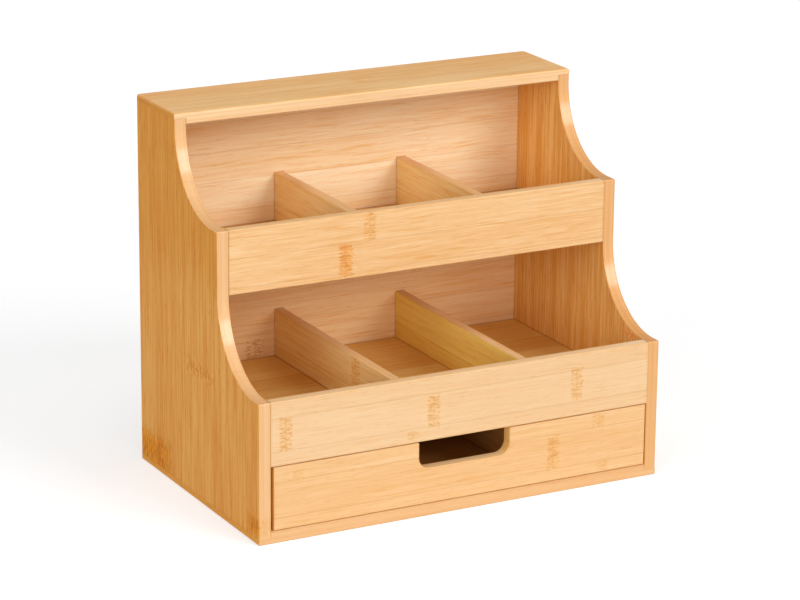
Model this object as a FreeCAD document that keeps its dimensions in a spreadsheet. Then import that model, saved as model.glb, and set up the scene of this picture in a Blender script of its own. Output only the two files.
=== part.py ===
"""Tea bag drawer box: a stepped bamboo carcass with six open compartments, and one drawer.

Millimetres, +Z up. The front faces -Y, and the origin is the middle of the footprint at the base.
"""
import FreeCAD
import Part
import os
import re
import Sketcher

# Driving dimensions: name, millimetres, what it is.
SIZES = [
    ("width", 300.0, "overall, over the outer faces of the side panels"),
    ("depth", 188.0, "overall, front board to back panel"),
    ("height", 258.0, "overall"),
    ("side_thickness", 8.5, "side panels"),
    ("top_thickness", 8.0, "top board"),
    ("bottom_thickness", 8.5, "bottom board"),
    ("back_thickness", 8.0, "back panel"),
    ("front_board_thickness", 7.5, "the two front boards"),
    ("shelf_thickness", 8.5, "the two shelves"),
    ("divider_thickness", 7.0, "carcass dividers"),
    ("top_lip", 4.0, "layer of the top board that laps over the side panels"),
    ("bottom_lip", 4.0, "layer of the bottom board that laps under the side panels"),
    ("bay_height", 44.0, "drawer bay, bottom board to lower front board"),
    ("lower_board_height", 43.5, "lower front board"),
    ("mouth_height", 54.5, "opening between the two front boards"),
    ("upper_board_height", 43.5, "upper front board"),
    ("lower_setback", 61.5, "lower front board to upper front board"),
    ("upper_setback", 64.0, "upper front board to the front of the top board"),
    ("arc_radius", 55.0, "concave arcs of the side panels"),
    ("shelf_rise", 1.0, "shelf underside above the lower edge of its front board"),
    ("shelf_rear_gap", 0.4, "shelf to back panel"),
    ("dado_depth", 3.0, "grooves in the side panels that hold the shelf ends"),
    ("divider_spacing", 95.0, "carcass dividers, centre to centre"),
    ("corner_round", 3.0, "upright rear corners of the carcass"),
    ("edge_round", 1.5, "upper edges of the top board"),
    ("arris", 0.8, "eased edges of the boards"),
    ("seam_arris", 0.4, "eased edges that meet another board"),
    ("drawer_gap_left", 2.2, "drawer to left side panel"),
    ("drawer_gap_right", 1.0, "drawer to right side panel"),
    ("drawer_gap_top", 0.7, "drawer front to lower front board"),
    ("drawer_gap_bottom", 0.4, "running gap, drawer to bottom board"),
    ("drawer_gap_rear", 1.0, "drawer back to back panel"),
    ("drawer_front_thickness", 8.0, "drawer front"),
    ("drawer_side_thickness", 7.0, "drawer sides"),
    ("drawer_back_thickness", 7.0, "drawer back"),
    ("drawer_side_height", 38.0, "drawer sides, back and dividers, above the drawer's lower edge"),
    ("drawer_floor_lift", 3.0, "drawer bottom above the drawer's lower edge"),
    ("drawer_floor_thickness", 4.0, "drawer bottom"),
    ("groove_depth", 3.0, "grooves that hold the drawer bottom"),
    ("drawer_divider_thickness", 5.0, "drawer dividers"),
    ("drawer_divider_spacing", 99.0, "drawer dividers, centre to centre"),
    ("slot_width", 68.0, "finger slot in the drawer front"),
    ("slot_depth", 18.5, "finger slot, down from the top edge"),
    ("slot_corner", 8.0, "lower corners of the finger slot"),
]

# Places and spans that follow from the sizes, as expressions over their names.
INNER = "(width - 2 * side_thickness)"
INNER_LEFT = f"(-{INNER} / 2)"
FRONT = "(-depth / 2)"
BACK_FACE = "(depth / 2 - back_thickness)"
TOP_UNDERSIDE = "(height - top_thickness)"
LOWER_BOARD_Z = "(bottom_thickness + bay_height)"
LOWER_LEDGE_Z = f"({LOWER_BOARD_Z} + lower_board_height)"
UPPER_BOARD_Z = f"({LOWER_LEDGE_Z} + mouth_height)"
UPPER_LEDGE_Z = f"({UPPER_BOARD_Z} + upper_board_height)"
UPPER_FRONT = f"({FRONT} + lower_setback)"
TOP_DEPTH = "(depth - lower_setback - upper_setback)"

DRAWER_LEFT = f"({INNER_LEFT} + drawer_gap_left)"
DRAWER_WIDTH = f"({INNER} - drawer_gap_left - drawer_gap_right)"
DRAWER_Z = "(bottom_thickness + drawer_gap_bottom)"
DRAWER_FRONT_HEIGHT = "(bay_height - drawer_gap_bottom - drawer_gap_top)"
DRAWER_INNER_WIDTH = f"({DRAWER_WIDTH} - 2 * drawer_side_thickness)"
DRAWER_INNER_Y = f"({FRONT} + drawer_front_thickness)"
DRAWER_SIDE_LENGTH = f"({BACK_FACE} - drawer_gap_rear - {DRAWER_INNER_Y})"
DRAWER_INNER_LENGTH = f"({DRAWER_SIDE_LENGTH} - drawer_back_thickness)"
DRAWER_FLOOR_TOP = "(drawer_floor_lift + drawer_floor_thickness)"

doc = FreeCAD.newDocument("tea_bag_drawer_box")
sheet = doc.addObject("Spreadsheet::Sheet", "Sizes")
for row, (alias, value, meaning) in enumerate(SIZES, start=1):
    sheet.set(f"A{row}", meaning)
    sheet.set(f"B{row}", str(value))
    sheet.setAlias(f"B{row}", alias)
doc.recompute()


def bound(expression):
    """The expression with each size's name written as a reference to the sheet."""
    return re.sub(r"\b[a-z_]+\b(?!\()", lambda name: f"Sizes.{name.group()}", expression)


def number(expression):
    """The expression's value in millimetres."""
    return float(sheet.evalExpression(bound(expression)))


def bind_each(thing, prefix, names, expressions):
    """Binds one property for each name to its expression."""
    for name, expression in zip(names, expressions):
        thing.setExpression(f"{prefix}{name}", bound(expression))


def set_box(box, corner, size):
    """Binds a box feature's low corner, in its body's frame, and its edges."""
    bind_each(box, "Placement.Base.", "xyz", corner)
    bind_each(box, "", ("Length", "Width", "Height"), size)
    doc.recompute()


def new_body(label, corner):
    """An empty body with its origin at the piece's low corner."""
    body = doc.addObject("PartDesign::Body", label)
    body.Label = label
    bind_each(body, "Placement.Base.", "xyz", corner)
    return body


def board(label, corner, size):
    """A rectangular board."""
    body = new_body(label, corner)
    set_box(body.newObject("PartDesign::AdditiveBox", f"{label}_blank"), ("0", "0", "0"), size)
    return body


def require_less(body, before, name):
    """Stops if a cut left the body's volume as it was."""
    if body.Shape.Volume > before - 1:
        raise RuntimeError(f"{body.Label}: {name} cuts nothing")


def cut(body, name, corner, size):
    """Cuts a rectangular rabbet or groove."""
    before = body.Shape.Volume
    set_box(body.newObject("PartDesign::SubtractiveBox", f"{body.Label}_{name}"), corner, size)
    require_less(body, before, name)


def outline_sketch(body, name, role, corners):
    """A closed outline of straight lines on one of the body's own origin planes."""
    sketch = body.newObject("Sketcher::SketchObject", f"{body.Label}_{name}")
    plane = next(feature for feature in body.Origin.OriginFeatures if feature.Role == role)
    sketch.AttachmentSupport = [(plane, "")]
    sketch.MapMode = "FlatFace"
    points = [FreeCAD.Vector(number(across), number(up), 0) for across, up in corners]
    for start, end in zip(points, points[1:] + points[:1]):
        sketch.addGeometry(Part.LineSegment(start, end), False)
    for line, corner in enumerate(corners):
        sketch.addConstraint(
            Sketcher.Constraint("Coincident", line, 2, (line + 1) % len(corners), 1)
        )
        for kind, axis, expression in zip(("DistanceX", "DistanceY"), (-2, -1), corner):
            if expression == "0":
                sketch.addConstraint(Sketcher.Constraint("PointOnObject", line, 1, axis))
                continue
            place = Sketcher.Constraint(kind, -1, 1, line, 1, number(expression))
            index = sketch.addConstraint(place)
            sketch.setExpression(f"Constraints[{index}]", bound(expression))
    doc.recompute()
    return sketch


def matches(edge, axis, places):
    """True for a straight edge along the axis that lies at the given places."""
    if len(edge.Vertexes) != 2:
        return False
    start, end = (vertex.Point for vertex in edge.Vertexes)
    if abs(getattr(end - start, axis)) < 0.9999 * edge.Length:
        return False
    return all(abs(getattr(start, c) - number(at)) < 0.01 for c, at in places.items())


def ease(body, name, radius, rules):
    """Rounds the straight edges that any rule picks: (axis, places in the body's frame)."""
    blank = body.Tip
    names = []
    for index, edge in enumerate(blank.Shape.Edges, start=1):
        if any(matches(edge, axis, places) for axis, places in rules):
            names.append(f"Edge{index}")
    if not names:
        raise RuntimeError(f"{body.Label}: {name} finds no edge")
    fillet = body.newObject("PartDesign::Fillet", f"{body.Label}_{name}")
    fillet.Base = (blank, names)
    fillet.setExpression("Radius", bound(radius))
    doc.recompute()


def side_panel(label, left_x, outer_x, inner_x, dado_x):
    """A stepped side panel. Its faces and its dados are placed in its own frame."""
    base = "(bottom_lip)"
    lower = f"({LOWER_LEDGE_Z} - {base})"
    upper = f"({UPPER_LEDGE_Z} - {base})"
    top = f"(height - top_lip - {base})"
    middle_y = "(lower_setback)"
    top_y = "(lower_setback + upper_setback)"
    body = new_body(label, (left_x, FRONT, base))
    corners = [
        ("0", "0"),
        ("depth", "0"),
        ("depth", top),
        (top_y, top),
        (top_y, upper),
        (middle_y, upper),
        (middle_y, lower),
        ("0", lower),
    ]
    profile = outline_sketch(body, "profile", "YZ_Plane", corners)
    pad = body.newObject("PartDesign::Pad", f"{label}_panel")
    pad.Profile = profile
    pad.setExpression("Length", bound("side_thickness"))
    doc.recompute()
    for name, y, ledge, setback, ceiling in (
        ("lower_arc", middle_y, lower, "lower_setback", upper),
        ("upper_arc", top_y, upper, "upper_setback", top),
    ):
        room = f"min({setback} - 2 * arris; {ceiling} - {ledge} - 2 * arris)"
        ease(body, name, f"min(arc_radius; {room})", [("x", {"y": y, "z": ledge})])
    ledges = [("x", {"y": "0", "z": lower}), ("x", {"y": middle_y, "z": upper})]
    ease(body, "ledge_corners", "arris", ledges)
    ease(body, "rear_corner", "corner_round", [("z", {"x": outer_x, "y": "depth"})])
    for name, x, radius in (("outer", outer_x, "arris"), ("inner", inner_x, "seam_arris")):
        runs = [("z", {"x": x, "y": y}) for y in ("0", middle_y, top_y)]
        ease(body, f"{name}_edges", radius, runs)
    dados = (("lower", "0", LOWER_BOARD_Z), ("upper", middle_y, UPPER_BOARD_Z))
    for tier, shelf_y, board_z in dados:
        groove_y = f"({shelf_y} + front_board_thickness)"
        groove_length = f"(depth - back_thickness - shelf_rear_gap - {groove_y})"
        corner = (dado_x, groove_y, f"({board_z} + shelf_rise - {base})")
        cut(body, f"{tier}_dado", corner, ("dado_depth", groove_length, "shelf_thickness"))


def side_panels():
    """The two side panels, mirror images of each other."""
    left_dado_x = "(side_thickness - dado_depth)"
    side_panel("left_side_panel", "(-width / 2)", "0", "side_thickness", left_dado_x)
    side_panel("right_side_panel", "(width / 2 - side_thickness)", "side_thickness", "0", "0")


def end_rabbets(body, z, length, height):
    """Steps both ends of a board, so that one layer laps over the side panels."""
    for name, x in (("left_rabbet", "0"), ("right_rabbet", "(width - side_thickness)")):
        cut(body, name, (x, "0", z), ("side_thickness", length, height))


def top_board():
    """The top board, whose upper layer laps over the side panels."""
    corner = ("(-width / 2)", f"(depth / 2 - {TOP_DEPTH})", TOP_UNDERSIDE)
    body = board("top_board", corner, ("width", TOP_DEPTH, "top_thickness"))
    rear = [("z", {"x": x, "y": TOP_DEPTH}) for x in ("0", "width")]
    ease(body, "rear_corners", "corner_round", rear)
    rim = [("x", {"y": "0", "z": "top_thickness"}), ("x", {"y": TOP_DEPTH, "z": "top_thickness"})]
    rim += [("y", {"x": x, "z": "top_thickness"}) for x in ("0", "width")]
    ease(body, "rim", "edge_round", rim)
    ease(body, "mouth_edge", "arris", [("x", {"y": "0", "z": "0"})])
    end_rabbets(body, "0", TOP_DEPTH, "(top_thickness - top_lip)")


def bottom_board():
    """The bottom board, whose lower layer laps under the side panels."""
    body = board("bottom_board", ("(-width / 2)", FRONT, "0"), ("width", "depth", "bottom_thickness"))
    rear = [("z", {"x": x, "y": "depth"}) for x in ("0", "width")]
    ease(body, "rear_corners", "corner_round", rear)
    rim = [("x", {"y": "0", "z": "0"}), ("x", {"y": "depth", "z": "0"})]
    rim += [("y", {"x": x, "z": "0"}) for x in ("0", "width")]
    ease(body, "rim", "arris", rim)
    end_rabbets(body, "bottom_lip", "depth", "(bottom_thickness - bottom_lip)")


def back_panel():
    """The back panel, between the side panels and between the top and bottom boards."""
    size = (INNER, "back_thickness", f"({TOP_UNDERSIDE} - bottom_thickness)")
    board("back_panel", (INNER_LEFT, BACK_FACE, "bottom_thickness"), size)


def compartment_tier(name, front_y, board_z, board_height):
    """One tier of compartments: front board, shelf and two dividers."""
    front = board(
        f"{name}_front_board",
        (INNER_LEFT, front_y, board_z),
        (INNER, "front_board_thickness", board_height),
    )
    rails = [("x", {"z": board_height})]
    ease(front, "top_edges", "arris", rails)
    ease(front, "lower_edge", "seam_arris", [("x", {"y": "0", "z": "0"})])

    inner_y = f"({front_y} + front_board_thickness)"
    shelf_z = f"({board_z} + shelf_rise)"
    shelf_length = f"({BACK_FACE} - shelf_rear_gap - {inner_y})"
    board(
        f"{name}_shelf",
        (f"({INNER_LEFT} - dado_depth)", inner_y, shelf_z),
        (f"({INNER} + 2 * dado_depth)", shelf_length, "shelf_thickness"),
    )

    floor_z = f"({shelf_z} + shelf_thickness)"
    divider_height = f"({board_z} + {board_height} - {floor_z})"
    for side, centre_x in (("left", "(-divider_spacing / 2)"), ("right", "(divider_spacing / 2)")):
        divider = board(
            f"{name}_{side}_divider",
            (f"({centre_x} - divider_thickness / 2)", inner_y, floor_z),
            ("divider_thickness", f"({BACK_FACE} - {inner_y})", divider_height),
        )
        ease(divider, "top_edges", "arris", [("y", {"z": divider_height})])


def drawer_front():
    """The drawer front, with a finger slot open at its top edge and a groove behind."""
    size = (DRAWER_WIDTH, "drawer_front_thickness", DRAWER_FRONT_HEIGHT)
    body = board("drawer_front", (DRAWER_LEFT, FRONT, DRAWER_Z), size)
    slot_left = f"({DRAWER_WIDTH} / 2 - slot_width / 2)"
    slot_right = f"({DRAWER_WIDTH} / 2 + slot_width / 2)"
    slot_floor = f"({DRAWER_FRONT_HEIGHT} - slot_depth)"
    corners = [
        (slot_left, slot_floor),
        (slot_right, slot_floor),
        (slot_right, DRAWER_FRONT_HEIGHT),
        (slot_left, DRAWER_FRONT_HEIGHT),
    ]
    before = body.Shape.Volume
    slot = body.newObject("PartDesign::Pocket", "drawer_front_finger_slot")
    slot.Profile = outline_sketch(body, "slot_outline", "XZ_Plane", corners)
    slot.Type = "ThroughAll"
    slot.Midplane = True
    body.Tip = slot
    doc.recompute()
    require_less(body, before, "finger slot")
    slot_corners = [("y", {"x": x, "z": slot_floor}) for x in (slot_left, slot_right)]
    ease(body, "slot_corners", "slot_corner", slot_corners)
    ends = [("z", {"x": x, "y": "0"}) for x in ("0", DRAWER_WIDTH)]
    rails = [("x", {"y": "0", "z": z}) for z in ("0", DRAWER_FRONT_HEIGHT)]
    ease(body, "front_edges", "seam_arris", ends + rails)
    slot_rim = [("x", {"y": y, "z": slot_floor}) for y in ("0", "drawer_front_thickness")]
    ease(body, "slot_edges", "arris", slot_rim)
    groove_x = "(drawer_side_thickness - groove_depth)"
    corner = (groove_x, "(drawer_front_thickness - groove_depth)", "drawer_floor_lift")
    length = f"({DRAWER_INNER_WIDTH} + 2 * groove_depth)"
    cut(body, "floor_groove", corner, (length, "groove_depth", "drawer_floor_thickness"))


def drawer_sides():
    """The drawer sides, butted behind the drawer front, grooved for the drawer bottom."""
    size = ("drawer_side_thickness", DRAWER_SIDE_LENGTH, "drawer_side_height")
    groove = ("groove_depth", DRAWER_SIDE_LENGTH, "drawer_floor_thickness")
    right_x = f"({DRAWER_LEFT} + {DRAWER_WIDTH} - drawer_side_thickness)"
    for name, x, groove_x in (
        ("left", DRAWER_LEFT, "(drawer_side_thickness - groove_depth)"),
        ("right", right_x, "0"),
    ):
        body = board(f"drawer_{name}_side", (x, DRAWER_INNER_Y, DRAWER_Z), size)
        ease(body, "top_edges", "arris", [("y", {"z": "drawer_side_height"})])
        cut(body, "floor_groove", (groove_x, "0", "drawer_floor_lift"), groove)


def drawer_back():
    """The drawer back, between the sides and on top of the drawer bottom."""
    place = (
        f"({DRAWER_LEFT} + drawer_side_thickness)",
        f"({DRAWER_INNER_Y} + {DRAWER_INNER_LENGTH})",
        f"({DRAWER_Z} + {DRAWER_FLOOR_TOP})",
    )
    rise = f"(drawer_side_height - {DRAWER_FLOOR_TOP})"
    body = board("drawer_back", place, (DRAWER_INNER_WIDTH, "drawer_back_thickness", rise))
    ease(body, "top_edges", "arris", [("x", {"z": rise})])


def drawer_bottom():
    """The drawer bottom, a thin panel in the grooves of the sides and the drawer front."""
    board(
        "drawer_bottom",
        (
            f"({DRAWER_LEFT} + drawer_side_thickness - groove_depth)",
            f"({DRAWER_INNER_Y} - groove_depth)",
            f"({DRAWER_Z} + drawer_floor_lift)",
        ),
        (
            f"({DRAWER_INNER_WIDTH} + 2 * groove_depth)",
            f"({DRAWER_SIDE_LENGTH} + groove_depth)",
            "drawer_floor_thickness",
        ),
    )


def drawer_dividers():
    """Two dividers inside the drawer, front to back."""
    rise = f"(drawer_side_height - {DRAWER_FLOOR_TOP})"
    centre = f"({DRAWER_LEFT} + {DRAWER_WIDTH} / 2)"
    for name, sign in (("left", "-"), ("right", "+")):
        x = f"({centre} {sign} drawer_divider_spacing / 2 - drawer_divider_thickness / 2)"
        place = (x, DRAWER_INNER_Y, f"({DRAWER_Z} + {DRAWER_FLOOR_TOP})")
        size = ("drawer_divider_thickness", DRAWER_INNER_LENGTH, rise)
        body = board(f"drawer_{name}_divider", place, size)
        ease(body, "top_edges", "arris", [("y", {"z": rise})])


def export_parts():
    """Checks every object and piece, then writes each piece to its own STEP file."""
    doc.recompute()
    for thing in doc.Objects:
        if {"Invalid", "Error"} & set(thing.State):
            raise RuntimeError(f"{thing.Name}: {thing.State}")
    bodies = [thing for thing in doc.Objects if thing.TypeId == "PartDesign::Body"]
    for body in bodies:
        shape = body.Shape
        if shape.isNull() or not shape.isValid() or len(shape.Solids) != 1:
            raise RuntimeError(f"{body.Label}: not one valid solid")
    os.makedirs("parts", exist_ok=True)
    for body in bodies:
        body.Shape.exportStep(f"parts/{body.Label}.step")
    print(len(bodies), "pieces written")


side_panels()
top_board()
bottom_board()
back_panel()
compartment_tier("lower", FRONT, LOWER_BOARD_Z, "lower_board_height")
compartment_tier("upper", UPPER_FRONT, UPPER_BOARD_Z, "upper_board_height")
drawer_front()
drawer_sides()
drawer_back()
drawer_bottom()
drawer_dividers()
export_parts()
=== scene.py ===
"""Looks of the tea bag drawer box: bamboo on every packed board, a pale floor, soft light, camera.

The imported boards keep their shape. Each gets its own procedural bamboo, laid along its own grain.
Places inside a material are in millimetres of the shared frame; everything else is in metres.
"""

import math
from typing import NamedTuple

import bpy
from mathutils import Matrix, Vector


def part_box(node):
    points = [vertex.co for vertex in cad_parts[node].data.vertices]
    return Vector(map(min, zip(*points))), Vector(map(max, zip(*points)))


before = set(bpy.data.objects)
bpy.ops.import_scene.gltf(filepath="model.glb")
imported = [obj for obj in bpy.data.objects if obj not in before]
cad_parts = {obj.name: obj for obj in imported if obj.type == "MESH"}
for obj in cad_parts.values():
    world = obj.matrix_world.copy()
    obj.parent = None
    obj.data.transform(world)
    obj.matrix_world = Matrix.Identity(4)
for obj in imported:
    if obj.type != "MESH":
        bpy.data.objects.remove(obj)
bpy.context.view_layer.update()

MM_PER_M = 1000.0

# Camera: the viewpoint worked out from the box's corners, in metres, degrees and millimetres.
CAMERA_PLACE = (-0.99889, -1.86269, 0.76970)
CAMERA_TURN = (72.8938, -0.5123, -28.0815)
CAMERA_LENS = 147.04
SENSOR_WIDTH = 36.0


class Lamp(NamedTuple):
    """A large soft lamp far away. Its turn from shining straight down and its width are in degrees."""
    name: str
    strength: float
    turn: tuple
    width: float


# Light: an even world, a key that shows in the lacquer, two low fills that reach into the
# compartments, one behind the box, and a lamp above.
WORLD_STRENGTH = 0.15
LAMPS = (
    Lamp("key", 1.38, (62.0, 0.0, 28.0), 30.0),
    Lamp("front_fill", 0.71, (79.0, 0.0, -14.0), 44.0),
    Lamp("left_fill", 0.89, (73.0, 0.0, -60.0), 40.0),
    Lamp("rear_fill", 0.75, (75.0, 0.0, -165.0), 40.0),
    Lamp("overhead", 0.82, (15.0, 0.0, 0.0), 40.0),
)

# Floor: its half size in metres, its colour as sRGB bytes, and the glow that makes it show as
# white. The background shows as white at a strength of 1.
FLOOR_HALF_SIZE = 6.0
FLOOR_COLOUR = (204, 205, 206)
FLOOR_GLOW = 0.55
BACKGROUND_GLOW = 1.0

AXES = "XYZ"
WHITE = (1.0, 1.0, 1.0, 1.0)


class Finish(NamedTuple):
    """Mean colours of a board's surfaces as sRGB bytes, and how its fibres show.

    The inner face looks towards the box's middle, the edge runs along the grain, and the end cuts
    the grain.
    The contrasts are how strongly the fibres show on the faces and on the edges. The hair is a
    fibre's width, the fibre is its length and the sway is how far it wanders, in millimetres.
    Fine and broad are how much the narrow and the wide streaks show.
    The strip contrast is how much the strips' tones differ, and the spread how much their widths.
    The depths are how dark the seams and the flecks are. The polish is how much the edges gleam,
    and the upper tints multiply the face's and the inner face's colours in the upper part of the
    box. The inner face's upper tint is painted light: it makes the inner face paler high up, where
    more light reaches into the box.
    """
    face: tuple
    inner: tuple
    edge: tuple
    end: tuple
    contrast: float = 1.0
    edge_contrast: float = 0.6
    hair: float = 0.7
    fibre: float = 28.0
    fine: float = 0.9
    broad: float = 0.9
    sway: float = 3.0
    strip_contrast: float = 0.28
    strip_spread: float = 0.0
    seam_depth: float = 0.22
    fleck_depth: float = 0.3
    polish: float = 0.3
    upper_face: tuple = (1.0, 1.0, 1.0)
    upper_inner_painted_light: tuple = (1.0, 1.0, 1.0)


# What the fibres' tone, the flaws and the painted shade at joints and rims do to a mean colour,
# in linear light, and the heights in millimetres between which the upper tints come in.
MEAN_TONE = 0.62
PLY_CONTRAST = 1.1
UPPER_HEIGHTS = (125.0, 180.0)
LIGHT_GAIN = (1.04, 1.12, 1.21)
DARK_GAIN = (0.91, 0.74, 0.50)
FLECK_TINT = (0.74, 0.56, 0.36, 1.0)
SEAM_TINT = (0.60, 0.42, 0.28, 1.0)
JOINT_SHADE_TINT = (0.42, 0.22, 0.10, 1.0)
RIM_WEAR_AND_SHADE_TINT = (0.92, 0.82, 0.66, 1.0)


class Stain(NamedTuple):
    """What a knuckle does to the colour: all over, and in its dark and its pale dashes."""
    ground: tuple
    dark: tuple
    pale: tuple


FAINT = Stain((0.99, 0.93, 0.82, 1.0), (0.87, 0.70, 0.50, 1.0), (1.02, 1.03, 1.04, 1.0))
DEEP = Stain((1.00, 0.98, 0.92, 1.0), (0.78, 0.64, 0.38, 1.0), (1.18, 1.26, 1.40, 1.0))
RUSTY = Stain((0.98, 0.82, 0.62, 1.0), (0.86, 0.68, 0.44, 1.0), (1.02, 0.98, 0.88, 1.0))
EMBER = Stain((1.08, 1.00, 0.98, 1.0), (0.90, 0.70, 0.55, 1.0), (1.10, 1.10, 1.15, 1.0))
BROWN = Stain((1.00, 1.00, 1.00, 1.0), (0.78, 0.64, 0.52, 1.0), (1.08, 1.08, 1.08, 1.0))
ORANGE = Stain((0.90, 0.76, 0.26, 1.0), (0.80, 0.66, 0.36, 1.0), (1.22, 1.08, 0.60, 1.0))


class Knuckle(NamedTuple):
    """A node of the bamboo culm that shows in a strip: its place along and across the grain.

    The blur is how softly it ends, as a share of its half size.
    """
    along: float
    across: float
    half_width: float
    strength: float
    half_length: float = 4.3
    stain: Stain = FAINT
    blur: float = 0.08


class Board(NamedTuple):
    """How one board's bamboo is laid and what it looks like. Lengths in millimetres.

    The strip is a strip's width, and the seam is a place where two strips meet.
    """
    node: str
    grain: str
    across: str
    finish: Finish
    strip: float
    seam: float
    seed: int
    knuckles: tuple = ()


PALE = Finish(
    face=(246, 199, 145), inner=(246, 199, 145), edge=(248, 206, 154), end=(248, 196, 118),
    contrast=0.88, fine=1.1, broad=0.65,
)
LIVELY = PALE._replace(contrast=1.15, fine=1.6, broad=0.5)
SOFT = Finish(
    face=(246, 206, 160), inner=(246, 206, 160), edge=(249, 212, 166), end=(240, 186, 126),
    contrast=0.7, fine=1.0, broad=0.6,
)
LOWEST = PALE._replace(edge=(238, 187, 133), end=(244, 172, 74))
# The back panel's inner face turns paler in its upper part: painted light where the upper compartment is
# lit more directly.
BACK = Finish(
    face=(248, 200, 136), inner=(252, 213, 163), edge=(242, 188, 128), end=(242, 188, 128),
    contrast=1.2, upper_inner_painted_light=(1.02, 1.19, 1.45),
)
WARM = Finish(
    face=(248, 212, 148), inner=(248, 212, 148), edge=(248, 204, 150), end=(236, 178, 112),
    contrast=1.3,
)
GOLDEN = WARM._replace(inner=(248, 210, 112))
SHELF = Finish(
    face=(238, 192, 114), inner=(238, 192, 114), edge=(242, 188, 128), end=(236, 178, 112),
    contrast=1.4,
)
TOP = Finish(
    face=(242, 191, 127), inner=(242, 191, 127), edge=(249, 206, 156), end=(232, 158, 64),
    contrast=1.4,
)
# The drawer's inner boards: a darker bamboo than the carcass, painted shade for the dim inside of the
# drawer.
SHADED_DRAWER = Finish(
    face=(196, 136, 70), inner=(196, 136, 70), edge=(212, 150, 88), end=(206, 140, 76),
    contrast=1.1,
)
PANEL = Finish(
    face=(248, 179, 91), inner=(244, 192, 116), edge=(243, 192, 137), end=(236, 186, 133),
    contrast=2.5, edge_contrast=0.2, hair=1.05, fibre=75.0, fine=2.2, broad=0.7, sway=1.2,
    strip_contrast=0.2, strip_spread=1.2, seam_depth=0.08, fleck_depth=0.5, polish=0.8,
)
LEFT_PANEL = PANEL._replace(upper_face=(0.93, 0.85, 0.58))
RIGHT_PANEL = PANEL._replace(edge=(238, 180, 118), end=(226, 168, 108))

BOARDS = (
    Board("left_side_panel", "Z", "Y", LEFT_PANEL, 5.4, 0.0, 1, (
        Knuckle(92.0, -5.0, 21.0, 0.85, 5.5, DEEP, 0.4),
        Knuckle(9.0, 71.0, 25.0, 1.0, 15.0, ORANGE, 0.4),
        Knuckle(12.0, -88.0, 9.0, 0.8, 5.5, ORANGE, 0.4),
        Knuckle(162.0, 52.0, 9.0, 0.25),
        Knuckle(232.0, 37.0, 9.0, 0.3),
    )),
    Board("right_side_panel", "Z", "Y", RIGHT_PANEL, 5.4, 0.0, 2, (
        Knuckle(95.0, -69.0, 9.0, 0.9, 4.0, EMBER, 0.3),
        Knuckle(40.0, 40.0, 17.0, 0.6),
        Knuckle(176.0, 10.0, 14.0, 0.5),
    )),
    Board("top_board", "X", "Y", TOP, 21.0, 94.0, 3, (
        Knuckle(1.0, 64.0, 10.0, 0.3),
        Knuckle(141.0, 56.0, 10.0, 0.3),
    )),
    Board("bottom_board", "X", "Y", LOWEST, 22.0, 94.0, 4),
    Board("back_panel", "X", "Z", BACK, 21.0, 66.0, 5, (
        Knuckle(-66.0, 69.0, 7.0, 1.0, 6.5, BROWN),
        Knuckle(60.0, 118.0, 10.0, 0.5),
    )),
    Board("lower_front_board", "X", "Z", SOFT, 22.5, 62.0, 6, (
        Knuckle(-130.8, 73.6, 11.0, 0.9),
        Knuckle(-23.0, 72.0, 11.2, 0.9),
        Knuckle(85.8, 74.8, 11.4, 0.9),
        Knuckle(-37.7, 58.0, 2.8, 0.5),
    )),
    Board("upper_front_board", "X", "Z", LIVELY, 20.0, 174.5, 7, (
        Knuckle(-38.9, 184.5, 9.8, 0.9),
        Knuckle(-56.6, 163.0, 11.0, 0.9, 4.6, RUSTY),
    )),
    Board("lower_shelf", "X", "Y", SHELF, 22.0, 86.0, 8),
    Board("upper_shelf", "X", "Y", SHELF, 22.0, 86.0, 9),
    Board("lower_left_divider", "Y", "Z", WARM, 22.0, 74.0, 10, (
        Knuckle(-36.5, 86.0, 10.0, 1.0, 6.0),
    )),
    Board("lower_right_divider", "Y", "Z", GOLDEN, 22.0, 74.0, 11),
    Board("upper_left_divider", "Y", "Z", WARM, 22.0, 172.0, 12),
    Board("upper_right_divider", "Y", "Z", WARM, 22.0, 172.0, 13),
    Board("drawer_front", "X", "Z", PALE, 24.5, 17.0, 14, (
        Knuckle(68.5, 29.0, 11.8, 0.8),
        Knuckle(104.0, 46.4, 4.4, 0.6),
        Knuckle(-121.4, 45.0, 3.2, 0.4),
        Knuckle(107.0, 13.0, 3.8, 0.4),
    )),
    Board("drawer_left_side", "Y", "Z", SHADED_DRAWER, 20.0, 20.0, 15),
    Board("drawer_right_side", "Y", "Z", SHADED_DRAWER, 20.0, 20.0, 16),
    Board("drawer_back", "X", "Z", SHADED_DRAWER, 20.0, 20.0, 17),
    Board("drawer_bottom", "X", "Y", SHADED_DRAWER, 22.0, 86.0, 18),
    Board("drawer_left_divider", "Y", "Z", SHADED_DRAWER, 20.0, 20.0, 19),
    Board("drawer_right_divider", "Y", "Z", SHADED_DRAWER, 20.0, 20.0, 20),
)

# Cut-outs in the boards' outlines, in millimetres. Far is past the whole box.
STEP_RADIUS = 55.0
SLOT_WIDTH = 68.0
SLOT_DEPTH = 18.5
SLOT_CORNER = 8.0
FAR = 1000.0

# Joints: what counts as touching and as standing proud, and how far their painted shade lines
# reach, in millimetres; how dark a painted shade line is by how the boards meet; and how squarely
# a surface has to face an axis to show it.
TOUCH_GAP = 0.5
PROUD = 0.5
JOINT_SHADE_REACH = 0.9
INNER_JOINT_SHADE = 0.85
CORNER_JOINT_SHADE = 0.35
FLUSH_JOINT_SHADE = 0.0
FACING_POWER = 8.0

# Darker rims, partly edge wear and partly painted shade that deepens the gaps between parts: their reach,
# how far and over what length it wanders, in millimetres, and how strongly they darken.
RIM_REACH = 1.6
RIM_WANDER = 1.2
RIM_WANDER_LENGTH = 7.0
RIM_WEAR_AND_SHADE = 0.5


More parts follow.
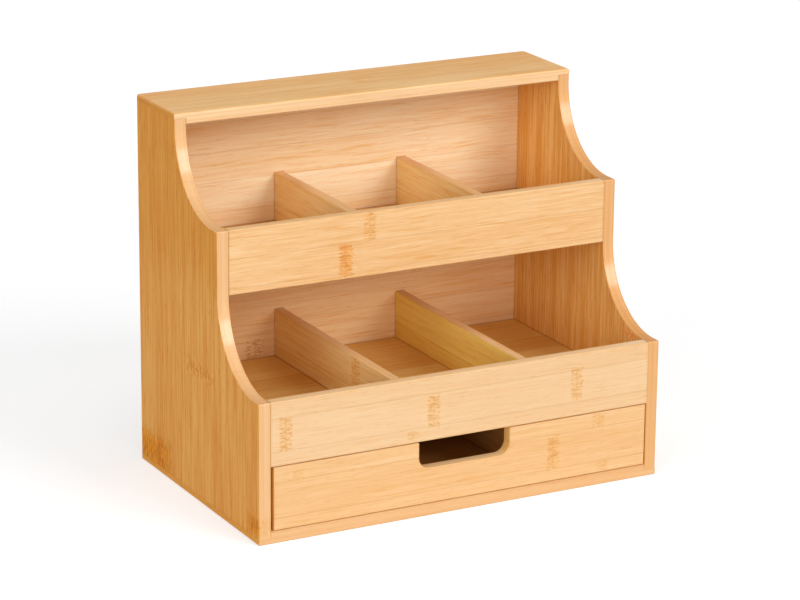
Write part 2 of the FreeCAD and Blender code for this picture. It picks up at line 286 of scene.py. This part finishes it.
class Streaks(NamedTuple):
    """Noise drawn out along the grain: how long and wide its marks are, and how detailed."""
    length: float
    width: float
    detail: float = 2.0
    roughness: float = 0.5


# Which way a surface looks: the parts of its normal between which it turns into a wide face, a
# cut end, a sawn end that isn't polished, and the face on the box's inside.
BROADSIDE = (0.3, 0.9)
ENDWISE = (0.3, 0.85)
SAWN = (0.6, 0.95)
INWARDS = (-0.1, 0.1)

# Strips: over what lengths and how far the seams wander, in millimetres; over how many strips
# their widths vary; and the distances from a seam between which its line fades, in millimetres.
SEAM_WOBBLE = Streaks(60.0, 30.0)
SEAM_WANDER = 0.8
UNEVEN_REACH = 2.2
SEAM_FADE = (0.1, 0.55)

# How far apart each strip's and each board's own fibres are taken, in millimetres.
STRIP_SHIFT = 900.0
BOARD_SHIFT = 211.0

# Fibres. Lengths in millimetres. The sway's and the cloud's widths are in millimetres too, and
# the others are in hairs.
SWAY = Streaks(55.0, 16.0, 1.0)
CLOUD = Streaks(120.0, 45.0, 1.0)
BROAD = Streaks(90.0, 4.3)
BRUSH = Streaks(30.0, 2.1)
FLECK = Streaks(9.0, 0.9, 1.0)
FINE_DETAIL = 3.0
FINE_ROUGHNESS = 0.6
PLY_LENGTHS = (300.0, 1.0, 1.1)

# The noise between which brush marks and flecks appear, and how much the layers change the tone.
BRUSH_RISE = (0.55, 0.72)
FLECK_RISE = (0.62, 0.74)
BRUSH_WEIGHT = 0.32
CLOUD_WEIGHT = 0.5

# Knuckles: their dashes, with the width in hairs; their ragged outline; how far they slide along
# the grain, in millimetres, over how many hairs; the scar along their middle, in hairs; and how
# much of them is left on a board's edge.
DASH = Streaks(4.6, 1.15, 1.0)
DARK_DASH_RISE = (0.50, 0.60)
PALE_DASH_FALL = (0.36, 0.46)
RAGGED = Streaks(3.0, 2.0, 1.0)
RAGGED_SHARE = 0.5
SLIDE = 8.0
SLIDE_WIDTH = 2.2
SCAR_FADE = (0.2, 0.9)
SCAR_STRENGTH = 0.8
KNUCKLE_ON_EDGE = 0.25

# Relief: how deep flaws are beside the fibres' own height, and the bump it all makes, in metres.
FLECK_RELIEF = 0.35
SEAM_RELIEF = 0.4
KNUCKLE_RELIEF = 0.3
BUMP_STRENGTH = 0.15
BUMP_DISTANCE = 0.0002

# Lacquer: rougher on the fibres' crests, and thin but where the edges are polished.
RELIEF_RANGE = (0.2, 0.8)
ROUGHNESS_RANGE = (0.40, 0.54)
SPECULAR_LEVEL = 0.03
COAT_ROUGHNESS = 0.18
COAT_ON_FACES = 0.05

# The Mix node's sockets for colours, by number, because its other sockets have the same names.
MIX_FACTOR = 0
MIX_FIRST = 6
MIX_SECOND = 7
MIX_RESULT = 2


class Cutout(NamedTuple):
    """Room cut out of a board: a box grown by a radius, in millimetres."""
    low: tuple
    high: tuple
    radius: float


class Joint(NamedTuple):
    """Where another board meets this one, as a box in millimetres.

    The strengths say how dark its painted shade line shows on a surface that faces up or down each axis.
    """
    low: tuple
    high: tuple
    up: tuple
    down: tuple


class Place(NamedTuple):
    """Sockets for the point of a board that is being shaded.

    The spot is in millimetres, whole and taken apart along the grain, across the strips and
    through the board. End-on is how squarely the surface faces along the grain, outwards is the
    normal's part through the board, and broadside is 1 on the wide faces.
    """
    spot: object
    normal: object
    along: object
    across: object
    through: object
    end_on: object
    outwards: object
    broadside: object


def box_mm(node):
    """The node's lowest and highest corners at rest, in millimetres."""
    return tuple(tuple(value * MM_PER_M for value in corner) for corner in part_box(node))


def solid_boxes(node):
    """The node's box, or the two that make it up where a lip laps over the side panels."""
    low, high = box_mm(node)
    panel_low, panel_high = box_mm("left_side_panel")
    inner = -panel_high[0]
    if node == "top_board":
        body = ((-inner, low[1], low[2]), (inner, high[1], panel_high[2]))
        return [body, ((low[0], low[1], panel_high[2]), high)]
    if node == "bottom_board":
        body = ((-inner, low[1], panel_low[2]), (inner, high[1], high[2]))
        return [body, (low, (high[0], high[1], panel_low[2]))]
    return [(low, high)]


def joints_of(board):
    """Where other boards of the same body meet this one."""
    pairs = (
        (own, box)
        for own in solid_boxes(board.node)
        for other in BOARDS
        if other.node != board.node and in_drawer(other) == in_drawer(board)
        for box in solid_boxes(other.node)
    )
    joints = (joint_between(own, box) for own, box in pairs)
    return [joint for joint in joints if joint]


def in_drawer(board):
    """Whether the board is one of the drawer's."""
    return board.node.startswith("drawer")


def joint_between(own, box):
    """The joint between one board's box and another's, if they touch."""
    (own_low, own_high), (low, high) = own, box
    start = [max(pair) for pair in zip(own_low, low)]
    end = [min(pair) for pair in zip(own_high, high)]
    if any(a - b > TOUCH_GAP for a, b in zip(start, end)):
        return None
    return Joint(
        low=tuple(map(min, start, end)),
        high=tuple(map(max, start, end)),
        up=joint_shade_strengths([b > own + PROUD for b, own in zip(high, own_high)]),
        down=joint_shade_strengths([a < own - PROUD for a, own in zip(low, own_low)]),
    )


def joint_shade_strengths(proud):
    """How dark a joint's painted shade line shows on surfaces that face each axis: darker on shelves than
    walls.
    """
    inner = (CORNER_JOINT_SHADE, CORNER_JOINT_SHADE, INNER_JOINT_SHADE)
    return tuple(dark if stands else FLUSH_JOINT_SHADE for dark, stands in zip(inner, proud))


def cutouts_of(board):
    """The room cut out of the board's outline, if any."""
    if board.node.endswith("side_panel"):
        steps = (("lower_front_board", "upper_front_board"), ("upper_front_board", "top_board"))
        return [step_cutout(ledge, wall) for ledge, wall in steps]
    if board.node == "drawer_front":
        low, high = box_mm(board.node)
        middle = (low[0] + high[0]) / 2
        half = SLOT_WIDTH / 2 - SLOT_CORNER
        floor = high[2] - SLOT_DEPTH + SLOT_CORNER
        return [Cutout((middle - half, -FAR, floor), (middle + half, FAR, FAR), SLOT_CORNER)]
    return []


def step_cutout(ledge, wall):
    """The step over one board's upper edge and in front of another board."""
    ledge_height = box_mm(ledge)[1][2]
    wall_place = box_mm(wall)[0][1]
    low = (-FAR, -FAR, ledge_height + STEP_RADIUS)
    return Cutout(low, (FAR, wall_place - STEP_RADIUS, FAR), STEP_RADIUS)


def linear(colour):
    """An sRGB colour in bytes as a linear RGBA colour, by the sRGB standard's curve."""
    values = [byte / 255 for byte in colour]
    return tuple(v / 12.92 if v <= 0.04045 else ((v + 0.055) / 1.055) ** 2.4 for v in values) + (1.0,)


def gained(colour, gain):
    """An sRGB colour in bytes as a linear one, with each channel times its gain."""
    return tuple(value * times for value, times in zip(linear(colour), gain)) + (1.0,)


class Graph:
    """Adds nodes to a material or a world. An input that is a socket is linked, any other is set."""

    def __init__(self, tree):
        self.tree = tree

    def add(self, kind, inputs=None, **settings):
        """A new node of that kind, with its settings made first."""
        node = self.tree.nodes.new(f"ShaderNode{kind}")
        for name, value in settings.items():
            setattr(node, name, value)
        for socket, value in (inputs or {}).items():
            if isinstance(value, bpy.types.NodeSocket):
                self.tree.links.new(value, node.inputs[socket])
            else:
                node.inputs[socket].default_value = value
        return node

    def math(self, operation, *values):
        """A Math node's result."""
        return self.add("Math", dict(enumerate(values)), operation=operation).outputs[0]

    def vector(self, operation, *values, output="Vector"):
        """A Vector Math node's result."""
        return self.add("VectorMath", dict(enumerate(values)), operation=operation).outputs[output]

    def split(self, vector):
        """A vector's three parts."""
        return self.add("SeparateXYZ", {0: vector}).outputs

    def join(self, first, second, third):
        """Three numbers as a vector."""
        return self.add("CombineXYZ", {0: first, 1: second, 2: third}).outputs[0]

    def centred(self, value, size):
        """A value from 0 to 1 moved to lie about zero, times a size."""
        return self.math("MULTIPLY", self.math("SUBTRACT", value, 0.5), size)

    def noise(self, place, lengths, detail=2.0, roughness=0.5):
        """Noise from 0 to 1 whose cells have the given lengths in millimetres."""
        scaled = self.vector("DIVIDE", place, lengths)
        inputs = {"Vector": scaled, "Scale": 1.0, "Detail": detail, "Roughness": roughness}
        return self.add("TexNoise", inputs).outputs[0]

    def streaks(self, place, marks, hair=1.0):
        """Noise drawn out along the grain, with widths that count in hairs."""
        width = marks.width * hair
        return self.noise(place, (marks.length, width, width), marks.detail, marks.roughness)

    def dice(self, first, second):
        """A number from 0 to 1 that is each pair of whole numbers' own."""
        inputs = {"Vector": self.join(first, second, 0.0)}
        return self.add("TexWhiteNoise", inputs, noise_dimensions="3D").outputs["Value"]

    def between(self, value, low, high, start=0.0, end=1.0):
        """The value's smooth rise from start, at low, to end, at high."""
        inputs = {"Value": value, "From Min": low, "From Max": high, "To Min": start, "To Max": end}
        node = self.add("MapRange", inputs, interpolation_type="SMOOTHSTEP", clamp=True)
        return node.outputs[0]

    def mix(self, factor, first, second, blend_type="MIX"):
        """Two colours mixed."""
        inputs = {MIX_FACTOR: factor, MIX_FIRST: first, MIX_SECOND: second}
        settings = {"data_type": "RGBA", "blend_type": blend_type, "clamp_factor": True}
        return self.add("Mix", inputs, **settings).outputs[MIX_RESULT]

    def tint(self, colour, factor, tint):
        """The colour times the tint, where the factor is 1."""
        return self.mix(factor, colour, tint, "MULTIPLY")


def fresh_graph(owner):
    """The emptied graph of a material or a world."""
    owner.use_nodes = True
    owner.node_tree.nodes.clear()
    return Graph(owner.node_tree)


def axes_of(board):
    """The numbers of the axes along the board's grain, across its strips and through it."""
    order = board.grain + board.across
    order += next(axis for axis in AXES if axis not in order)
    return [AXES.index(axis) for axis in order]


def laid_along_grain(g, board):
    """The point of the board that is being shaded."""
    coordinates = g.add("TexCoord")
    spot = g.vector("MULTIPLY", coordinates.outputs["Object"], (MM_PER_M,) * 3)
    normal = coordinates.outputs["Normal"]
    spots, facing = g.split(spot), g.split(normal)
    along, across, through = axes_of(board)
    return Place(
        spot=spot,
        normal=normal,
        along=spots[along],
        across=spots[across],
        through=spots[through],
        end_on=g.math("ABSOLUTE", facing[along]),
        outwards=facing[through],
        broadside=g.between(g.math("ABSOLUTE", facing[through]), *BROADSIDE),
    )


def from_middle(g, spot, low, high):
    """How far the spot lies from a box's middle along each axis, and half the box's size."""
    middle = [(a + b) / 2 for a, b in zip(low, high)]
    half = [(b - a) / 2 for a, b in zip(low, high)]
    return g.vector("ABSOLUTE", g.vector("SUBTRACT", spot, middle)), half


def outside_box(g, spot, low, high):
    """How far the spot lies outside a box."""
    offset, half = from_middle(g, spot, low, high)
    past = g.vector("MAXIMUM", g.vector("SUBTRACT", offset, half), (0.0, 0.0, 0.0))
    return g.vector("LENGTH", past, output="Value")


def rim(g, place, board):
    """How near the surface is to the board's edges, from 0 to 1."""
    offset, half = from_middle(g, place.spot, *box_mm(board.node))
    depths = g.split(g.vector("SUBTRACT", half, offset))
    along, across, through = axes_of(board)
    outline = g.math("MINIMUM", depths[along], depths[across])
    for cutout in cutouts_of(board):
        outside = outside_box(g, place.spot, cutout.low, cutout.high)
        outline = g.math("MINIMUM", outline, g.math("SUBTRACT", outside, cutout.radius))
    depth = g.math("MAXIMUM", depths[through], outline)
    wobble = g.centred(g.noise(place.spot, (RIM_WANDER_LENGTH,) * 3), RIM_WANDER)
    return g.between(g.math("ADD", depth, wobble), 0.0, RIM_REACH, 1.0, 0.0)


def joint_shade_lines(g, place, board):
    """How dark the painted shade line round a neighbouring board is, from 0 to 1."""
    up = g.vector("MAXIMUM", place.normal, (0.0, 0.0, 0.0))
    down = g.vector("SUBTRACT", up, place.normal)
    up, down = (g.vector("POWER", part, (FACING_POWER,) * 3) for part in (up, down))
    darkest = 0.0
    for joint in joints_of(board):
        outside = outside_box(g, place.spot, joint.low, joint.high)
        near = g.between(outside, 0.0, JOINT_SHADE_REACH, 1.0, 0.0)
        strength = g.math(
            "ADD",
            g.vector("DOT_PRODUCT", up, joint.up, output="Value"),
            g.vector("DOT_PRODUCT", down, joint.down, output="Value"),
        )
        darkest = g.math("MAXIMUM", darkest, g.math("MULTIPLY", near, strength))
    return darkest


def strips(g, place, board):
    """Each strip's own number from 0 to 1, and how near a point is to a glue seam."""
    wobble = g.streaks(g.join(place.along, place.across, place.through), SEAM_WOBBLE)
    from_seam = g.math("SUBTRACT", place.across, board.seam)
    shifted = g.math("ADD", from_seam, g.centred(wobble, SEAM_WANDER))
    if board.finish.strip_spread:
        reach = UNEVEN_REACH * board.strip
        uneven = g.noise(g.join(0.0, place.across, board.seed), (1.0, reach, 1.0), 1.0)
        shifted = g.math("ADD", shifted, g.centred(uneven, reach * board.finish.strip_spread))
    index = g.math("FLOOR", g.math("DIVIDE", shifted, board.strip))
    distance = g.math("PINGPONG", shifted, board.strip / 2)
    return g.dice(index, float(board.seed)), g.between(distance, *SEAM_FADE, 1.0, 0.0)


def fibres(g, place, number, board):
    """Tone of the fibres, from 0, dark, to 1, light; the dark flecks in them; their relief."""
    finish, hair = board.finish, board.finish.hair
    start = g.math("ADD", place.along, BOARD_SHIFT * board.seed)
    own_along = g.math("MULTIPLY_ADD", number, STRIP_SHIFT, start)
    shifted = g.join(own_along, place.across, place.through)
    sway = g.centred(g.streaks(shifted, SWAY), finish.sway)
    swayed = g.vector("ADD", shifted, g.join(0.0, sway, 0.0))
    fine = g.streaks(swayed, Streaks(finish.fibre, 1.0, FINE_DETAIL, FINE_ROUGHNESS), hair)
    layers = (
        (fine, finish.fine),
        (g.streaks(swayed, BROAD, hair), finish.broad),
        (g.streaks(shifted, CLOUD), CLOUD_WEIGHT),
        (number, finish.strip_contrast),
    )
    tone = MEAN_TONE
    for layer, weight in layers:
        tone = g.math("ADD", tone, g.centred(layer, weight))
    brush = g.between(g.streaks(swayed, BRUSH, hair), *BRUSH_RISE)
    tone = g.math("MULTIPLY_ADD", brush, -BRUSH_WEIGHT, tone)
    contrast = g.between(place.broadside, 0.0, 1.0, finish.edge_contrast, finish.contrast)
    tone = g.math("MULTIPLY", g.math("SUBTRACT", tone, MEAN_TONE), contrast)
    tone = g.math("ADD", g.math("ADD", tone, plies(g, place)), MEAN_TONE)
    return tone, g.between(g.streaks(swayed, FLECK, hair), *FLECK_RISE), fine


def plies(g, place):
    """What the layers seen on a board's edge add to the tone."""
    layers = g.noise(g.join(place.along, 0.0, place.through), PLY_LENGTHS, 1.0)
    on_edge = g.math("SUBTRACT", 1.0, place.broadside)
    return g.math("MULTIPLY", g.centred(layers, PLY_CONTRAST), on_edge)


def knuckled(g, colour, height, place, board):
    """The colour and the height with the board's knuckles on them: stained patches of short dashes."""
    hair = board.finish.hair
    wander = g.noise(g.join(0.0, place.across, board.seed), (1.0, SLIDE_WIDTH * hair, 1.0), 1.0)
    slid = g.math("ADD", place.along, g.centred(wander, SLIDE))
    spot = g.join(slid, place.across, place.through)
    on_face = g.between(place.broadside, 0.0, 1.0, KNUCKLE_ON_EDGE, 1.0)
    dashes = g.streaks(spot, DASH, hair)
    dark_dash = g.between(dashes, *DARK_DASH_RISE)
    pale_dash = g.between(dashes, *PALE_DASH_FALL, 1.0, 0.0)
    ragged = g.centred(g.streaks(spot, RAGGED), RAGGED_SHARE)
    marks = 0.0
    for knuckle in board.knuckles:
        offset = g.math("ABSOLUTE", g.math("SUBTRACT", slid, knuckle.along))
        sideways = g.math("ABSOLUTE", g.math("SUBTRACT", place.across, knuckle.across))
        patch = g.math("MULTIPLY", patch_of(g, knuckle, offset, sideways, ragged), on_face)
        scar = g.between(offset, *(width * hair for width in SCAR_FADE), SCAR_STRENGTH, 0.0)
        dark = g.math("MULTIPLY", g.math("MAXIMUM", dark_dash, scar), patch)
        colour = g.tint(colour, patch, knuckle.stain.ground)
        colour = g.tint(colour, dark, knuckle.stain.dark)
        colour = g.tint(colour, g.math("MULTIPLY", pale_dash, patch), knuckle.stain.pale)
        marks = g.math("MAXIMUM", marks, dark)
    return colour, g.math("MULTIPLY_ADD", marks, -KNUCKLE_RELIEF, height)


def patch_of(g, knuckle, offset, sideways, ragged):
    """How strongly a knuckle shows at a distance along and across the grain from its middle."""
    reach = g.math(
        "MAXIMUM",
        g.math("DIVIDE", offset, knuckle.half_length),
        g.math("DIVIDE", sideways, knuckle.half_width),
    )
    low, high = 1.0 - knuckle.blur, 1.0 + knuckle.blur
    return g.between(g.math("ADD", reach, ragged), low, high, knuckle.strength, 0.0)


def faces_plus(board):
    """Whether the board's inner face looks towards the axis's far end."""
    low, high = box_mm(board.node)
    *_, through = axes_of(board)
    return low[through] + high[through] < 0


def mean_colour(g, place, tone, board):
    """The board's own colour there, before flaws: by which way the surface looks, and by tone."""
    finish = board.finish
    face, inner, edge, end = (
        g.mix(tone, gained(mean, DARK_GAIN), gained(mean, LIGHT_GAIN))
        for mean in (finish.face, finish.inner, finish.edge, finish.end)
    )
    raised = g.between(g.split(place.spot)[AXES.index("Z")], *UPPER_HEIGHTS)
    face = g.tint(face, raised, finish.upper_face + (1.0,))
    # Painted light: the inner face's upper tint makes it paler high up in the box.
    inner = g.tint(inner, raised, finish.upper_inner_painted_light + (1.0,))
    side = 1.0 if faces_plus(board) else -1.0
    inwards = g.between(g.math("MULTIPLY", place.outwards, side), *INWARDS)
    colour = g.mix(place.broadside, edge, g.mix(inwards, face, inner))
    return g.mix(g.between(place.end_on, *ENDWISE), colour, end)


def wood(g, place, board):
    """The bare wood's colour and height, and the relief of its fibres."""
    number, seam = strips(g, place, board)
    tone, flecks, relief = fibres(g, place, number, board)
    colour = mean_colour(g, place, tone, board)
    flecked = g.between(place.broadside, 0.0, 1.0, 0.0, board.finish.fleck_depth)
    colour = g.tint(colour, g.math("MULTIPLY", flecks, flecked), FLECK_TINT)
    colour = g.tint(colour, g.math("MULTIPLY", seam, board.finish.seam_depth), SEAM_TINT)
    height = g.math("MULTIPLY_ADD", flecks, -FLECK_RELIEF, relief)
    height = g.math("MULTIPLY_ADD", seam, -SEAM_RELIEF, height)
    if board.knuckles:
        colour, height = knuckled(g, colour, height, place, board)
    return colour, height, relief


def lacquered(g, colour, height, relief, place, board):
    """The wood's shader, under a thin coat that gleams on the polished edges."""
    bump = g.add("Bump", {
        "Height": height, "Strength": BUMP_STRENGTH, "Distance": BUMP_DISTANCE,
    })
    unpolished = g.math("MAXIMUM", place.broadside, g.between(place.end_on, *SAWN))
    polished = g.math("SUBTRACT", 1.0, unpolished)
    return g.add("BsdfPrincipled", {
        "Base Color": colour,
        "Roughness": g.between(relief, *RELIEF_RANGE, *ROUGHNESS_RANGE),
        "Normal": bump.outputs[0],
        "Specular IOR Level": SPECULAR_LEVEL,
        "Coat Roughness": COAT_ROUGHNESS,
        "Coat Weight": g.between(polished, 0.0, 1.0, COAT_ON_FACES, board.finish.polish),
    })


def bamboo(board):
    """The board's own bamboo material."""
    material = bpy.data.materials.new(f"bamboo_{board.node}")
    g = fresh_graph(material)
    place = laid_along_grain(g, board)
    colour, height, relief = wood(g, place, board)
    # Darker rims along the board's edges: partly wear, partly painted shade that deepens the gaps between
    # parts.
    colour = g.tint(colour, g.math("MULTIPLY", rim(g, place, board), RIM_WEAR_AND_SHADE), RIM_WEAR_AND_SHADE_TINT)
    # Painted shade: dark lines along the inner corners where other boards meet this one.
    colour = g.tint(colour, joint_shade_lines(g, place, board), JOINT_SHADE_TINT)
    shader = lacquered(g, colour, height, relief, place, board)
    g.add("OutputMaterial", {"Surface": shader.outputs[0]})
    return material


def dress_boards():
    """Puts each board's bamboo in its object's material slots."""
    for board in BOARDS:
        material = bamboo(board)
        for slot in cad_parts[board.node].material_slots:
            slot.link = "OBJECT"
            slot.material = material


def shown_directly(g):
    """1 for what the camera, a reflection or a clear material shows, and 0 for what lights the object."""
    rays = g.add("LightPath").outputs
    seen = g.math("MAXIMUM", rays["Is Camera Ray"], rays["Is Glossy Ray"])
    return g.math("MAXIMUM", seen, rays["Is Transmission Ray"])


def floor_material():
    """A pale floor that shows as white, with the object's shadow kept."""
    material = bpy.data.materials.new("pale_floor")
    g = fresh_graph(material)
    diffuse = g.add("BsdfDiffuse", {"Color": linear(FLOOR_COLOUR)})
    glow = g.add("Emission", {"Strength": g.math("MULTIPLY", shown_directly(g), FLOOR_GLOW)})
    both = g.add("AddShader", {0: diffuse.outputs[0], 1: glow.outputs[0]})
    g.add("OutputMaterial", {"Surface": both.outputs[0]})
    return material


def make_floor():
    """The floor that the box stands on."""
    half = FLOOR_HALF_SIZE
    mesh = bpy.data.meshes.new("floor")
    corners = [(-half, -half, 0.0), (half, -half, 0.0), (half, half, 0.0), (-half, half, 0.0)]
    mesh.from_pydata(corners, [], [(0, 1, 2, 3)])
    mesh.materials.append(floor_material())
    floor = bpy.data.objects.new("floor", mesh)
    bpy.context.scene.collection.objects.link(floor)


def make_world():
    """An even light all round that shows as white."""
    world = bpy.data.worlds.new("studio")
    bpy.context.scene.world = world
    g = fresh_graph(world)
    extra = BACKGROUND_GLOW - WORLD_STRENGTH
    strength = g.math("MULTIPLY_ADD", shown_directly(g), extra, WORLD_STRENGTH)
    background = g.add("Background", {"Color": WHITE, "Strength": strength})
    g.add("OutputWorld", {"Surface": background.outputs[0]})


def make_lamps():
    """The soft lamps, each a wide sun."""
    for lamp in LAMPS:
        data = bpy.data.lights.new(lamp.name, "SUN")
        data.energy = lamp.strength
        data.angle = math.radians(lamp.width)
        light = bpy.data.objects.new(lamp.name, data)
        light.rotation_euler = [math.radians(angle) for angle in lamp.turn]
        bpy.context.scene.collection.objects.link(light)


def make_camera():
    """The camera at the viewpoint."""
    data = bpy.data.cameras.new("camera")
    data.lens = CAMERA_LENS
    data.sensor_width = SENSOR_WIDTH
    camera = bpy.data.objects.new("camera", data)
    camera.location = CAMERA_PLACE
    camera.rotation_euler = [math.radians(angle) for angle in CAMERA_TURN]
    bpy.context.scene.collection.objects.link(camera)
    bpy.context.scene.camera = camera


bpy.context.scene.view_settings.view_transform = "Standard"
make_camera()
make_world()
make_lamps()
make_floor()
dress_boards()
